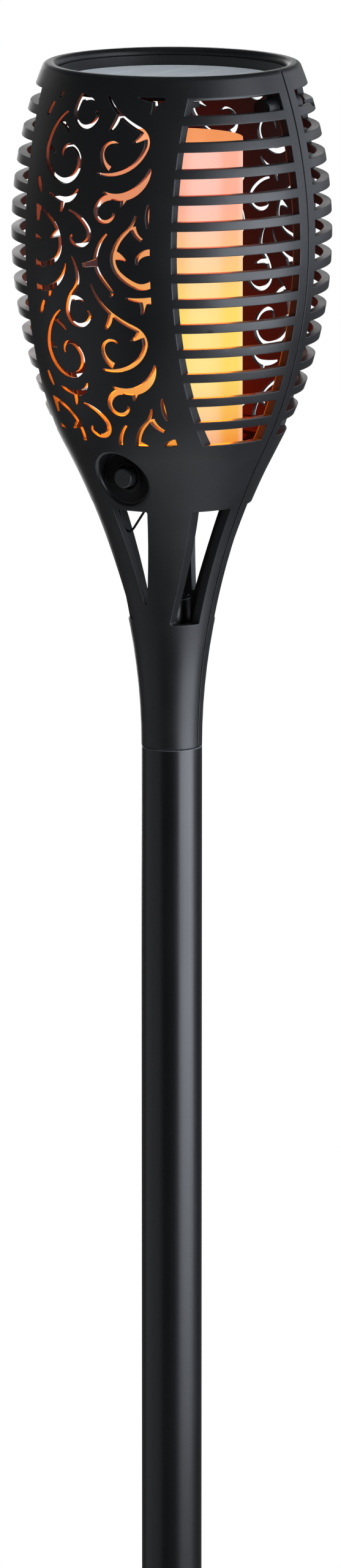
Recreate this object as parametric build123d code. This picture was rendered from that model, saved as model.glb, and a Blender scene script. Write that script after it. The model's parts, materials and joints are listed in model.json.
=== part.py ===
from build123d import *
import os
from math import acos, atan2, cos, hypot, radians, sin, sqrt, tan

os.makedirs("parts", exist_ok=True)

# Solar garden torch with a pierced lantern head. Millimetres, +Z up along the pole.
# The origin is on the axis at ground level, and the front, with the power button, faces -Y.
# Heights of the head's pieces are measured from the seam where the head meets the pole.

# Pole sections and ground spike
POLE_OD = 22.0
SOCKET_ID = 14.0            # bore of the pole sections and of the head's neck
PUSH_FIT = 0.08             # radial clearance of each push fit
SPIGOT_LENGTH = 55.0
SPIGOT_WALL = 2.4
SECTION_LENGTH = 330.0
SHOULDER_WEB = 4.0
POLE_EDGE = 0.4             # broken edge at each end of a section
SPIGOT_LEAD_IN = 0.8        # chamfer that starts a spigot or the spike's plug in its socket
COLLAR_HEIGHT = 6.0
PLUG_LENGTH = 42.0
SPIKE_LENGTH = 165.0
SPIKE_BLADE = 3.0
SPIKE_INSET = 0.5           # the blades stay this far inside the collar
SPIKE_PARALLEL = 30.0       # straight stretch under the collar, before the taper
SPIKE_TIP = 1.6

# Skin of the head: a concave flare that rises tangent to the pole, then a convex barrel
HEAD_HEIGHT = 248.0
BARREL_R = 57.4
BARREL_DROP = 61.0          # widest level, down from the top
BARREL_ARC = 165.0
WALL = 3.0
SOCKET_DEPTH = 44.0
SEAM_GROOVE = 0.5           # depth and half width of the groove along the parting line

# Rim, tray recess and seam posts
RIM_WIDTH = 4.7
RIM_THICK = 2.5
RIM_ROUND = 2.0
SEAM_POST = 10.0            # width of the post where the two halves meet
LEDGE_THICK = 2.0
LEDGE_WIDTH = 3.5
LEDGE_FIT = 0.1             # axial play of a plate trapped between ledges

# Pierced front: scroll panel between two upright mullions, louvre slots beside them
LANTERN_HEIGHT = 132.0      # from the sill to the top
PANEL_DROP = 6.8            # top of the scrolls, down from the top
PANEL_HALF = 24.0
PANEL_WEB = 1.8             # wall left behind the scrolls
MULLION_OUT = 30.7
SLOT_COUNT = 14
SLOT_DROP = 7.4             # top of the highest slot, down from the top
BAR_HEIGHT = 3.23
SCROLL_REPEAT = 70.0

# Windows in the neck
WINDOW_SILL = 2.5           # foot of the windows, up from the socket's end
WINDOW_DROP = 26.0          # top of the windows, down from the sill
WINDOW_ROUND = 1.0
VEE_HALF = 7.4              # half width of the middle window's top
VEE_TIP = 7.6               # its tip, up from the socket's end
VEE_ROUND = 0.6
SIDE_TOP_U = 21.0
SIDE_LOW_U = 7.7

# Solar top
TRAY_CLEAR = 0.4
TRAY_LIP_SHOW = 0.8         # width of the tray's lip that shows inside the rim
TRAY_HEIGHT = 6.2
TRAY_FLOOR = 0.9
SEAL_THICK = 0.6
SEAL_WIDTH = 5.0
PANEL_BOARD = 0.6
CELL_THICK = 0.2
RESIN_THICK = 0.4
PANEL_CLEAR = 0.3
CELL_STRIPS = 6
CELL_GAP = 1.2

# Lamp: diffuser, light engine and its base plate
BASE_DROP = 7.0             # top of the base plate, down from the sill
BASE_THICK = 2.5
PLATE_CLEAR = 0.3
DIFFUSER_R = 25.4
DIFFUSER_WALL = 1.5
DIFFUSER_DROP = 27.0        # top of the diffuser, down from the top
LAMP_BOSS_R = 3.0
LAMP_BOSS_HEIGHT = 12.0
LAMP_BOSS_COUNT = 3
FORMER_SIDES = 6
FORMER_R = 17.0             # to the former's corners
FORMER_WALL = 1.5
FORMER_HEIGHT = 98.0
FORMER_RIM = 2.0
LED_BOARD_WIDTH = 14.0
LED_BOARD_HEIGHT = 90.0
LED_BOARD = 0.6
LED_WIDTH = 2.8
LED_HEIGHT = 3.5
LED_DEPTH = 0.8
LED_ROWS = 11
LED_PITCH = 8.0
BATTERY_R = 9.2
BATTERY_LENGTH = 65.0
BATTERY_NUB_R = 3.0
BATTERY_NUB = 1.5
CUP_HEIGHT = 22.0
RIB_WALL = 1.6              # wall of the cup and of the former's rim
RIB_FIT = 0.15

# Compartment under the base plate
COVER_DROP = 21.6           # top of the cover, down from the sill
COVER_PLATE = 1.8
CONTROL_LENGTH = 34.0
CONTROL_WIDTH = 26.0
CONTROL_THICK = 1.6
CONTROL_LIFT = 3.6
STAKE_R = 1.2
STAKE_FIT = 0.05
POST_R = 2.5
STAKE_INSET = 3.5

# Power button in its round pocket
BUTTON_DROP = 13.7          # axis of the button, down from the sill
POCKET_R = 9.8
POCKET_WALL = 2.0
POCKET_DEPTH = 5.8          # floor of the pocket, in from the skin
POCKET_FLOOR = 2.0
POCKET_HOLE_R = 4.4
POCKET_ROUND = 1.2
BEZEL_WIDTH = 1.1
BEZEL_HEIGHT = 0.8
BEZEL_ROUND = 0.4
BUTTON_R = 3.6
BUTTON_SUNK = 1.6           # face of the button, in from the skin
BUTTON_CAP = 4.4
BUTTON_STEM_R = 1.5
BUTTON_STEM = 5.0
BUTTON_TRAVEL = 1.5
BUTTON_ROUND = 0.6
STEM_FIT = 0.08
SWITCH_SIZE = 8.0
SWITCH_DEPTH = 7.5
SWITCH_FLANGE = 14.0
SWITCH_FLANGE_THICK = 1.2

# Screws
SCREW_R = 1.25
SCREW_FIT = 0.05
SCREW_HEAD_R = 2.5
SCREW_HEAD = 1.8
SCREW_GRIP = 8.0            # length in the piece that takes the thread
DRIVE_SPAN = 2.8            # cross recess in the head
DRIVE_WIDTH = 0.7
DRIVE_DEPTH = 1.0
SHELL_BOSS_R = 3.5
LOW_BOSS_IN = 7.0           # screw axis, in from the wall's inner face
LOW_BOSS_DROP = 16.0        # screw axis, down from the sill
TOP_BOSS_IN = 2.5
TOP_BOSS_DROP = 13.0        # screw axis, down from the top
WELL_FLOOR = 6.0            # wall of the rear boss under a screw's head
WELL_CLEAR = 0.3

# Lead from the solar top, along the left seam post, to the control board
LEAD_R = 0.45
LEAD_OFF_WALL = 1.0
LEAD_SLOT = 3.0
LEAD_BEND = 0.45            # share of the shorter run that each bend takes
GROMMET_X = -9.0
GROMMET_R = 2.4
GROMMET_LIP_R = 3.2
GROMMET_LIP = 0.8
LEAD_DROP = 4.3             # straight stretch under the cover
LEAD_LOOP_DROP = 18.8       # corner of the slack behind the neck's left window, down from the cover
LEAD_LOOP_OFF = 0.7
LEAD_WALL_DROPS = [162.0, 151.0, 134.0, 112.0, 86.0, 60.0, 35.0]
LEAD_TOP_DROP = 17.0
LEAD_TOP_IN = 9.7

# Derived sizes
POLE_R = POLE_OD / 2
SOCKET_R = SOCKET_ID / 2
SPIGOT_R = SOCKET_R - PUSH_FIT
SEAM_Z = COLLAR_HEIGHT + 2 * SECTION_LENGTH
BARREL_Z = HEAD_HEIGHT - BARREL_DROP
SKIN_RISE = BARREL_R - POLE_R
ARC_SUM = (SKIN_RISE ** 2 + BARREL_Z ** 2) / (2 * SKIN_RISE)
FLARE_ARC = ARC_SUM - BARREL_ARC
JOIN_ANGLE = acos((ARC_SUM - SKIN_RISE) / ARC_SUM)
FLANGE_Z = HEAD_HEIGHT - RIM_THICK
SILL_Z = HEAD_HEIGHT - LANTERN_HEIGHT
PANEL_TOP_Z = HEAD_HEIGHT - PANEL_DROP
SLOT_PITCH = (LANTERN_HEIGHT - SLOT_DROP + BAR_HEIGHT) / SLOT_COUNT
WINDOW_LOW_Z = SOCKET_DEPTH + WINDOW_SILL
WINDOW_TOP_Z = SILL_Z - WINDOW_DROP
BASE_TOP_Z = SILL_Z - BASE_DROP
COVER_TOP_Z = SILL_Z - COVER_DROP
DIFFUSER_TOP_Z = HEAD_HEIGHT - DIFFUSER_DROP
BUTTON_Z = SILL_Z - BUTTON_DROP
REACH = 2 * BARREL_R        # long enough to pass right through the head


def skin_radius(z, inset=0.0):
    """Radius of the head's skin at height z, or of the surface inset from it."""
    if z < (FLARE_ARC + inset) * sin(JOIN_ANGLE):
        return POLE_R + FLARE_ARC - sqrt((FLARE_ARC + inset) ** 2 - z ** 2)
    return BARREL_R - BARREL_ARC + sqrt((BARREL_ARC - inset) ** 2 - (z - BARREL_Z) ** 2)


def skin_curve(low, high, inset=0.0):
    """The skin's arcs in the XZ plane between two heights, split where the flare meets the barrel."""
    join = (FLARE_ARC + inset) * sin(JOIN_ANGLE)
    levels = [low, join, high] if low < join < high else [low, high]
    arcs = []
    for start, end in zip(levels, levels[1:]):
        heights = (start, (start + end) / 2, end)
        arcs.append(ThreePointArc(*[(skin_radius(z - 1e-9, inset), 0, z) for z in heights]))
    return arcs


def ring(inner, outer, low, high):
    """A plain ring about the Z axis."""
    body = Pos(0, 0, low) * Cylinder(outer, high - low, align=(Align.CENTER, Align.CENTER, Align.MIN))
    if inner > 0:
        body -= Pos(0, 0, low) * Cylinder(inner, high - low, align=(Align.CENTER, Align.CENTER, Align.MIN))
    return body


def rod_y(x, z, radius, near, far):
    """A round bar along Y, from y = near to y = far."""
    bar = Rot(90, 0, 0) * Cylinder(radius, far - near)
    return Pos(x, (near + far) / 2, z) * bar


def block(low, high):
    """A box between two opposite corners."""
    size = [b - a for a, b in zip(low, high)]
    centre = [(a + b) / 2 for a, b in zip(low, high)]
    return Pos(*centre) * Box(*size)


def prism_y(corners, near, far, radius=0.0):
    """A prism along Y over corners given as (x, z), which may be rounded."""
    face = make_face(Polyline(*[(x, 0, z) for x, z in corners], close=True))
    if radius > 0:
        face = fillet(face.vertices(), radius)
    return Pos(0, far, 0) * extrude(face, amount=far - near, dir=(0, -1, 0))


def pole_section():
    """A tube with a reduced spigot on top; its open foot takes the next spigot down."""
    bore_top = SECTION_LENGTH - SHOULDER_WEB
    spigot_bore = SPIGOT_R - SPIGOT_WALL
    spigot_top = SECTION_LENGTH + SPIGOT_LENGTH
    corners = [
        (SOCKET_R, 0),
        (POLE_R - POLE_EDGE, 0),
        (POLE_R, POLE_EDGE),
        (POLE_R, SECTION_LENGTH - POLE_EDGE),
        (POLE_R - POLE_EDGE, SECTION_LENGTH),
        (SPIGOT_R, SECTION_LENGTH),
        (SPIGOT_R, spigot_top - SPIGOT_LEAD_IN),
        (SPIGOT_R - SPIGOT_LEAD_IN, spigot_top),
        (spigot_bore, spigot_top),
        (spigot_bore, bore_top),
        (SOCKET_R, bore_top - (SOCKET_R - spigot_bore)),
    ]
    face = make_face(Polyline(*[(r, 0, z) for r, z in corners], close=True))
    return revolve(face, Axis.Z)


def ground_spike():
    """Crossed tapering blades under a collar, with a plug for the lowest pole section."""
    blade_r = POLE_R - SPIKE_INSET
    corners = [
        (-blade_r, 0),
        (blade_r, 0),
        (blade_r, -SPIKE_PARALLEL),
        (SPIKE_TIP, -SPIKE_LENGTH),
        (-SPIKE_TIP, -SPIKE_LENGTH),
        (-blade_r, -SPIKE_PARALLEL),
    ]
    blade = prism_y(corners, -SPIKE_BLADE / 2, SPIKE_BLADE / 2)
    collar = ring(0, POLE_R, 0, COLLAR_HEIGHT)
    plug = ring(0, SPIGOT_R, COLLAR_HEIGHT, COLLAR_HEIGHT + PLUG_LENGTH)
    plug = chamfer(plug.edges().sort_by(Axis.Z)[-1], SPIGOT_LEAD_IN)
    return collar + plug + blade + Rot(0, 0, 90) * blade


# Scrollwork. Each stroke of the repeat: where it starts (across the panel, up from the sill), its
# heading in degrees, the ends of its arcs, which follow on tangent to one another, and its width at
# the start, the middle and the end.
SCROLL_STROKES = [
    # The six: a round spiral with a leaf and a spur
    ((-12.0, 48.7), 215, [(-19.8, 36.0), (-11.3, 24.9), (-3.9, 32.0), (-8.0, 37.2), (-11.8, 33.2)],
     (0.8, 2.1, 0.8)),
    ((-15.2, 45.2), -15, [(-10.2, 41.5)], (1.6, 1.5, 0.7)),
    ((-19.3, 35.6), -15, [(-15.6, 34.2)], (2.6, 1.5, 0.5)),
    # The hooked curl beside it
    ((-5.6, 68.6), 305, [(-3.1, 62.0), (-5.0, 56.3), (-8.3, 49.3), (-3.2, 44.0), (1.2, 47.2), (0.3, 49.5)],
     (0.7, 1.9, 0.8)),
    ((-6.3, 53.6), 20, [(-1.0, 52.8)], (2.2, 1.5, 0.7)),
    # The pear, with the curl inside it
    ((2.4, 59.2), 290, [(9.5, 49.3), (17.5, 44.3), (20.6, 37.5), (13.0, 29.2), (4.0, 28.5)],
     (0.7, 1.6, 0.8)),
    ((8.5, 30.0), 150, [(5.2, 35.0), (8.2, 39.4), (11.0, 38.4)], (2.6, 1.3, 0.8)),
    ((19.5, 42.2), 230, [(16.0, 39.6)], (2.8, 1.6, 0.5)),
    ((9.6, 49.4), 265, [(7.0, 43.4)], (1.4, 1.8, 0.9)),
    # The long wave under the pear
    ((22.9, 30.8), 262, [(18.0, 22.5), (11.0, 20.7), (6.8, 22.2)], (0.6, 2.9, 0.7)),
    ((10.0, 20.6), 185, [(4.6, 16.5), (8.3, 11.8), (11.3, 15.0)], (2.2, 1.6, 0.9)),
    ((14.8, 20.6), 250, [(13.8, 17.2)], (2.6, 1.5, 0.5)),
    ((23.2, 18.3), 262, [(23.2, 10.0)], (0.5, 1.3, 0.5)),
    # The flame at the right edge
    ((19.1, 84.3), 258, [(15.8, 78.3), (11.4, 70.5), (13.5, 63.3), (19.0, 59.6), (24.6, 60.6)],
     (0.7, 1.9, 2.2)),
    ((18.2, 80.5), 280, [(21.3, 75.8)], (2.2, 1.7, 1.3)),
    ((12.0, 70.2), -10, [(15.8, 68.4)], (3.4, 2.0, 0.6)),
    ((24.6, 71.6), 175, [(20.2, 69.5), (19.9, 67.2)], (2.3, 1.8, 0.7)),
    ((15.4, 55.0), -12, [(24.6, 54.4)], (0.5, 1.6, 2.6)),
    ((21.4, 53.6), 265, [(20.8, 49.3)], (2.4, 1.3, 0.8)),
    # The bow at the left edge
    ((-24.6, 84.8), -5, [(-14.0, 79.8), (-10.8, 72.0), (-15.0, 65.8), (-20.0, 64.2), (-24.6, 65.2)],
     (1.6, 1.5, 2.2)),
    ((-11.4, 76.6), 205, [(-15.8, 74.2)], (3.2, 1.9, 0.6)),
    ((-22.6, 84.3), 268, [(-22.8, 79.4)], (2.6, 2.2, 1.4)),
    ((-24.6, 74.2), -12, [(-21.0, 73.3)], (1.6, 1.5, 0.8)),
    # The crescent under the bow, and the leaves beside it
    ((-8.4, 65.8), 262, [(-13.0, 58.2), (-24.6, 56.0)], (0.6, 1.8, 2.2)),
    ((-15.8, 57.0), 250, [(-17.3, 52.8)], (2.2, 1.5, 0.9)),
    ((-20.2, 51.3), 245, [(-22.9, 46.3)], (1.0, 1.7, 1.0)),
    ((-23.4, 95.0), -75, [(-21.6, 89.7)], (1.2, 1.9, 0.9)),
    # The bird between the two spirals
    ((-17.2, 90.0), -25, [(-9.5, 88.3), (-3.6, 92.6)], (0.6, 2.1, 0.6)),
    ((-10.0, 88.0), 262, [(-10.9, 83.8)], (2.4, 1.5, 1.0)),
    # The hook and the forked twig in the middle
    ((-7.2, 84.8), -10, [(1.2, 79.3), (-1.5, 72.9), (-5.6, 74.2), (-5.2, 76.2)], (0.7, 1.8, 0.8)),
    ((8.9, 77.6), 225, [(4.6, 68.8), (6.0, 63.0), (10.2, 57.6), (9.7, 55.2)], (0.7, 1.6, 0.8)),
    ((5.0, 67.2), 195, [(-0.9, 65.8)], (2.8, 2.0, 1.5)),
]


def scroll_stroke(start, heading, ends, widths, lift):
    """Face of one tapering stroke: two sides of arcs, closed by straight ends."""
    stations = []
    length = 0.0
    point = start
    angle = radians(heading)
    for end in ends:
        chord = hypot(end[0] - point[0], end[1] - point[1])
        turn = atan2(end[1] - point[1], end[0] - point[0]) - angle
        turn = atan2(sin(turn), cos(turn))
        half = chord / (2 * cos(turn / 2))
        middle = (point[0] + half * cos(angle + turn / 2), point[1] + half * sin(angle + turn / 2))
        arc = chord if abs(turn) < 1e-6 else chord * turn / sin(turn)
        stations.append([(length, point, angle), (length + arc / 2, middle, angle + turn),
                         (length + arc, end, angle + 2 * turn)])
        length += arc
        point = end
        angle += 2 * turn

    def side(station, sign):
        along, (u, v), direction = station
        t = along / length
        first, mid, last = widths
        width = first * (1 - t) * (1 - 2 * t) + 4 * mid * t * (1 - t) + last * t * (2 * t - 1)
        reach = sign * width / 2
        return (u - reach * sin(direction), 0, v + reach * cos(direction) + SILL_Z + lift)

    left = [[side(station, 1) for station in arc] for arc in stations]
    right = [[side(station, -1) for station in arc] for arc in stations]
    edges = [ThreePointArc(*arc) for arc in left] + [ThreePointArc(*arc) for arc in right]
    edges.append(Line(left[0][0], right[0][0]))
    edges.append(Line(left[-1][-1], right[-1][-1]))
    return make_face(edges)


def scroll_cutter():
    """The pierced pattern, repeated up the panel and cut off at the panel's border."""
    height = PANEL_TOP_Z - SILL_Z
    lifts = [SCROLL_REPEAT * count for count in range(-1, int(height / SCROLL_REPEAT) + 1)]
    corners = [(-PANEL_HALF, 0, SILL_Z), (PANEL_HALF, 0, SILL_Z),
               (PANEL_HALF, 0, PANEL_TOP_Z), (-PANEL_HALF, 0, PANEL_TOP_Z)]
    border = make_face(Polyline(*corners, close=True))
    faces = []
    for start, heading, ends, widths in SCROLL_STROKES:
        tops = [start[1]] + [v for u, v in ends]
        for lift in lifts:
            if max(tops) + lift > 0 and min(tops) + lift < height:
                faces.append(scroll_stroke(start, heading, ends, widths, lift))
    pattern = (faces[0] + faces[1:]) & border
    return [extrude(face, amount=REACH, dir=(0, -1, 0)) for face in pattern.faces()]


def half_skin(inset=0.0):
    """The head's half facing -Y, filled to the skin or to the surface inset from it."""
    top = (skin_radius(HEAD_HEIGHT, inset), 0, HEAD_HEIGHT)
    foot = (skin_radius(0, inset), 0, 0)
    core = Polyline(top, (0, 0, HEAD_HEIGHT), (0, 0, 0), foot)
    return Rot(0, 0, 180) * revolve(make_face(skin_curve(0, HEAD_HEIGHT, inset) + [core]), Axis.Z, 180)


def half_ledge(low, high):
    """A ledge round the inside of one half, open at the seams, where the lead passes on one side."""
    inner = skin_radius(low, WALL) - LEDGE_WIDTH
    outer = skin_radius(low, WALL / 2)
    return ring(inner, outer, low, high) & block((-REACH, -REACH, low), (REACH, -LEAD_SLOT / 2, high))


def slot_corners(side, low, high):
    """Corners of an opening that runs outwards from a mullion, on the left (-1) or the right (1)."""
    near = side * MULLION_OUT
    far = side * REACH
    return [(near, low), (far, low), (far, high), (near, high)]


def tray_ledge():
    """Rests for the solar tray, behind the mullions and the seam posts only, so no cut-out shows one."""
    low = TRAY_LOW_Z - LEDGE_FIT - LEDGE_THICK
    high = TRAY_LOW_Z - LEDGE_FIT
    rest = half_ledge(low, high) - block((-PANEL_HALF, -REACH, low), (PANEL_HALF, 0, high))
    for side in (-1, 1):
        rest -= prism_y(slot_corners(side, low, high), -REACH, -SEAM_POST / 2)
    return rest


def half_shell(front):
    """One half of the lantern's clamshell, facing -Y. The front one has the button's pocket, and the
    rear one the wells for the screws that hold the two together."""
    rim = Polyline((skin_radius(HEAD_HEIGHT), 0, HEAD_HEIGHT), (RIM_INNER_R, 0, HEAD_HEIGHT),
                   (RIM_INNER_R, 0, FLANGE_Z), (skin_radius(FLANGE_Z, WALL), 0, FLANGE_Z))
    neck = Polyline((skin_radius(SOCKET_DEPTH, WALL), 0, SOCKET_DEPTH), (SOCKET_R, 0, SOCKET_DEPTH),
                    (SOCKET_R, 0, 0), (POLE_R, 0, 0))
    outline = skin_curve(0, HEAD_HEIGHT) + [rim] + skin_curve(SOCKET_DEPTH, FLANGE_Z, WALL) + [neck]
    shell = Rot(0, 0, 180) * revolve(make_face(outline), Axis.Z, 180)
    round_edges = shell.edges().filter_by(GeomType.CIRCLE).group_by(Axis.Z)[-1]
    shell = fillet(round_edges, RIM_ROUND)
    shell -= block((-REACH, -SEAM_GROOVE, 0), (REACH, 0, HEAD_HEIGHT)) - half_skin(SEAM_GROOVE)

    # The louvre slots run from the mullions to the seam posts, cut the way the mould draws
    cutters = scroll_cutter()
    for level in range(SLOT_COUNT):
        low = SILL_Z + level * SLOT_PITCH
        for side in (-1, 1):
            corners = slot_corners(side, low, low + SLOT_PITCH - BAR_HEIGHT)
            cutters.append(prism_y(corners, -REACH, -SEAM_POST / 2))

    # The web behind the scrolls is thinner than the frame round it
    recess = block((-PANEL_HALF, -REACH, SILL_Z), (PANEL_HALF, -SEAM_POST / 2, PANEL_TOP_Z))
    cutters.append(half_skin(PANEL_WEB) & recess)

    # Three windows open the neck, the middle one coming to a point
    vee = [(0, SOCKET_DEPTH + VEE_TIP), (VEE_HALF, WINDOW_TOP_Z), (-VEE_HALF, WINDOW_TOP_Z)]
    cutters.append(prism_y(vee, -REACH, -SEAM_POST / 2, VEE_ROUND))
    for side in (-1, 1):
        far = side * REACH
        corners = [(side * SIDE_LOW_U, WINDOW_LOW_Z), (far, WINDOW_LOW_Z),
                   (far, WINDOW_TOP_Z), (side * SIDE_TOP_U, WINDOW_TOP_Z)]
        cutters.append(prism_y(corners, -REACH, -SEAM_POST / 2, WINDOW_ROUND))
    shell = shell - cutters

    # Ledges trap the base plate, the compartment's cover and the solar tray when the halves close
    shell += half_ledge(BASE_LOW_Z - LEDGE_FIT - LEDGE_THICK, BASE_LOW_Z - LEDGE_FIT)
    shell += half_ledge(BASE_TOP_Z + LEDGE_FIT, BASE_TOP_Z + LEDGE_FIT + LEDGE_THICK)
    shell += half_ledge(COVER_LOW_Z - LEDGE_FIT - LEDGE_THICK, COVER_LOW_Z - LEDGE_FIT)
    shell += half_ledge(COVER_TOP_Z + LEDGE_FIT, COVER_TOP_Z + LEDGE_FIT + LEDGE_THICK)
    shell += tray_ledge()

    # Screw bosses: the lower pair reaches the wall, the upper pair is short and stands on the posts
    skin = half_skin()
    for x, z, depth in SHELL_SCREWS:
        shell += rod_y(x, z, SHELL_BOSS_R, -depth, 0) & skin
    if front:
        for x, z, depth in SHELL_SCREWS:
            shell -= rod_y(x, z, SCREW_R + SCREW_FIT, -SCREW_GRIP - SCREW_FIT, 0)
        boss = rod_y(0, BUTTON_Z, POCKET_R + POCKET_WALL, -REACH, POCKET_FLOOR_Y + POCKET_FLOOR)
        shell += boss & skin
        shell -= rod_y(0, BUTTON_Z, POCKET_R, -REACH, POCKET_FLOOR_Y)
        mouth = []
        for edge in shell.edges().filter_by(GeomType.BSPLINE):
            middle = edge @ 0.5
            if abs(hypot(middle.X, middle.Z - BUTTON_Z) - POCKET_R) < 0.01:
                mouth.append(edge)
        shell = fillet(mouth, POCKET_ROUND)
        bezel_y = POCKET_FLOOR_Y - BEZEL_HEIGHT
        bezel = rod_y(0, BUTTON_Z, POCKET_HOLE_R + BEZEL_WIDTH, bezel_y, POCKET_FLOOR_Y)
        shell += fillet(bezel.edges().sort_by(Axis.Y)[0], BEZEL_ROUND)
        shell -= rod_y(0, BUTTON_Z, POCKET_HOLE_R, -REACH, POCKET_FLOOR_Y + POCKET_FLOOR)
    else:
        for x, z, depth in SHELL_SCREWS:
            shell -= rod_y(x, z, SCREW_R + SCREW_FIT, -depth, 0)
            shell -= rod_y(x, z, SCREW_HEAD_R + WELL_CLEAR, -REACH, -WELL_FLOOR)
    return shell


def screw_z(length):
    """A pan-head screw standing on Z: head below z = 0, shank above it."""
    screw = ring(0, SCREW_R, 0, length) + ring(0, SCREW_HEAD_R, -SCREW_HEAD, 0)
    recess = block((-DRIVE_SPAN / 2, -DRIVE_WIDTH / 2, -SCREW_HEAD),
                   (DRIVE_SPAN / 2, DRIVE_WIDTH / 2, -SCREW_HEAD + DRIVE_DEPTH))
    return screw - recess - Rot(0, 0, 90) * recess


def shell_screws():
    """The screws through the rear bosses into the front ones, heads to the rear."""
    screw = Rot(90, 0, 0) * screw_z(WELL_FLOOR + SCREW_GRIP)
    return [Pos(x, WELL_FLOOR, z) * screw for x, z, depth in SHELL_SCREWS_REAR]


def solar_tray():
    """A shallow dish with an upstanding lip under the lantern's rim."""
    tray = ring(0, TRAY_R, TRAY_LOW_Z, TRAY_LOW_Z + TRAY_HEIGHT)
    return tray - ring(0, TRAY_LIP_R, TRAY_LOW_Z + TRAY_FLOOR, TRAY_LOW_Z + TRAY_HEIGHT)


def solar_cells():
    """Strips of silicon across the board, each cut to the round of the panel."""
    disc = ring(0, PANEL_R - CELL_GAP, CELL_LOW_Z, CELL_LOW_Z + CELL_THICK)
    pitch = 2 * (PANEL_R - CELL_GAP) / CELL_STRIPS
    strips = []
    for index in range(CELL_STRIPS):
        left = -PANEL_R + CELL_GAP + index * pitch + CELL_GAP / 2
        column = block((left, -PANEL_R, CELL_LOW_Z),
                       (left + pitch - CELL_GAP, PANEL_R, CELL_LOW_Z + CELL_THICK))
        strips.append(disc & column)
    return strips


def former_bar(radius, low, high):
    """A bar about Z with the former's sides, a flat to the front."""
    face = Pos(0, 0, low) * RegularPolygon(radius, FORMER_SIDES)
    return extrude(face, amount=high - low)


def lamp_base():
    """The plate that carries the light: a cup for the battery, a rim for the former, screw holes for the
    diffuser, a notch round the button's pocket and one for the lead."""
    plate = ring(0, BASE_R, BASE_LOW_Z, BASE_TOP_Z)
    notch_half = POCKET_R + POCKET_WALL + PLATE_CLEAR
    notch_y = POCKET_FLOOR_Y + POCKET_FLOOR + PLATE_CLEAR
    plate -= block((-notch_half, -REACH, BASE_LOW_Z), (notch_half, notch_y, BASE_TOP_Z))
    plate -= block((-REACH, -LEAD_SLOT / 2, BASE_LOW_Z), (-BASE_R + LEAD_SLOT, LEAD_SLOT / 2, BASE_TOP_Z))
    cup_r = BATTERY_R + RIB_FIT
    plate += ring(cup_r, cup_r + RIB_WALL, BASE_TOP_Z, BASE_TOP_Z + CUP_HEIGHT)
    rim = former_bar(FORMER_R + RIB_WALL, BASE_TOP_Z, BASE_TOP_Z + FORMER_RIM)
    plate += rim - former_bar(FORMER_R + RIB_FIT, BASE_TOP_Z, BASE_TOP_Z + FORMER_RIM)
    for x, y in LAMP_SCREWS:
        plate -= Pos(x, y, 0) * ring(0, SCREW_R + SCREW_FIT, BASE_LOW_Z, BASE_TOP_Z)
    return plate


def diffuser():
    """A frosted tube with a closed top, and screw bosses inside its foot."""
    inner = DIFFUSER_R - DIFFUSER_WALL
    tube = ring(0, DIFFUSER_R, BASE_TOP_Z, DIFFUSER_TOP_Z)
    tube -= ring(0, inner, BASE_TOP_Z, DIFFUSER_TOP_Z - DIFFUSER_WALL)
    core = ring(0, DIFFUSER_R - DIFFUSER_WALL / 2, BASE_TOP_Z, DIFFUSER_TOP_Z)
    for x, y in LAMP_SCREWS:
        boss = Pos(x, y, 0) * ring(0, LAMP_BOSS_R, BASE_TOP_Z, BASE_TOP_Z + LAMP_BOSS_HEIGHT)
        tube += boss & core
        tube -= Pos(x, y, 0) * ring(0, SCREW_R + SCREW_FIT, BASE_TOP_Z, BASE_TOP_Z + SCREW_GRIP + SCREW_FIT)
    return tube


def led_boards():
    """One board on each flat of the former."""
    board = block((-LED_BOARD_WIDTH / 2, -FORMER_FLAT - LED_BOARD, BOARD_LOW_Z),
                  (LED_BOARD_WIDTH / 2, -FORMER_FLAT, BOARD_LOW_Z + LED_BOARD_HEIGHT))
    return [Rot(0, 0, FLAT_TURN * flat) * board for flat in range(FORMER_SIDES)]


def leds():
    """A column of surface-mounted LEDs on each board."""
    face = -FORMER_FLAT - LED_BOARD
    first = BOARD_LOW_Z + LED_BOARD_HEIGHT / 2 - (LED_ROWS - 1) * LED_PITCH / 2
    lamps = []
    for row in range(LED_ROWS):
        middle = first + row * LED_PITCH
        lamp = block((-LED_WIDTH / 2, face - LED_DEPTH, middle - LED_HEIGHT / 2),
                     (LED_WIDTH / 2, face, middle + LED_HEIGHT / 2))
        lamps += [Rot(0, 0, FLAT_TURN * flat) * lamp for flat in range(FORMER_SIDES)]
    return lamps


def battery():
    """A cylindrical cell standing in the base plate's cup, positive end up."""
    top = BASE_TOP_Z + BATTERY_LENGTH
    return ring(0, BATTERY_R, BASE_TOP_Z, top) + ring(0, BATTERY_NUB_R, top, top + BATTERY_NUB)


def base_cover():
    """The plate that closes the compartment from below, with staked posts for the control board."""
    plate = ring(0, COVER_R, COVER_LOW_Z, COVER_TOP_Z)
    plate -= block((-REACH, -LEAD_SLOT / 2, COVER_LOW_Z), (-COVER_R + LEAD_SLOT, LEAD_SLOT / 2, COVER_TOP_Z))
    plate -= Pos(GROMMET_X, 0, 0) * ring(0, GROMMET_R + STAKE_FIT, COVER_LOW_Z, COVER_TOP_Z)
    for x, y in CONTROL_POSTS:
        plate += Pos(x, y, 0) * ring(0, POST_R, COVER_TOP_Z, CONTROL_LOW_Z)
        plate += Pos(x, y, 0) * ring(0, STAKE_R, CONTROL_LOW_Z, CONTROL_LOW_Z + CONTROL_THICK)
    return plate


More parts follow.
